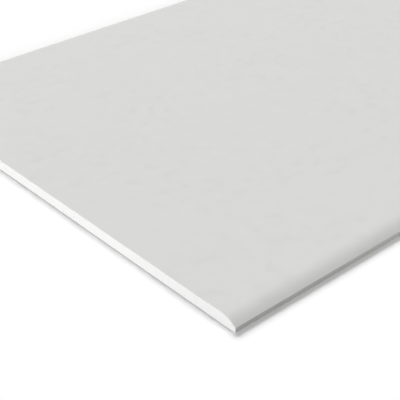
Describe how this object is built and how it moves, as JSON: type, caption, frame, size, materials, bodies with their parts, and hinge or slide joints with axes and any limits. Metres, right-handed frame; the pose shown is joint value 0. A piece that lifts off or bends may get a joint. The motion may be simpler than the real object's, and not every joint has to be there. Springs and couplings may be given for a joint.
{
  "type": "drywall sheet",
  "caption": "Flat rectangular plasterboard sheet: gypsum core between two papers, with half-round paper-wrapped long edges and square cut ends.",
  "frame": {"origin": "under the middle of the sheet, on the surface it lies on", "axes": "+X along the sheet, +Y across it, +Z out of its face"},
  "size_m": [2, 0.6, 0.0125],
  "materials": {
    "gypsum": "cut gypsum, matt and white, with fine pores",
    "face_liner": "smooth matt light grey paper",
    "back_liner": "rougher matt grey-brown paper"
  },
  "bodies": {
    "root": {"gypsum_core": "gypsum", "face_paper": "face_liner", "back_paper": "back_liner"}
  },
  "joints": []
}
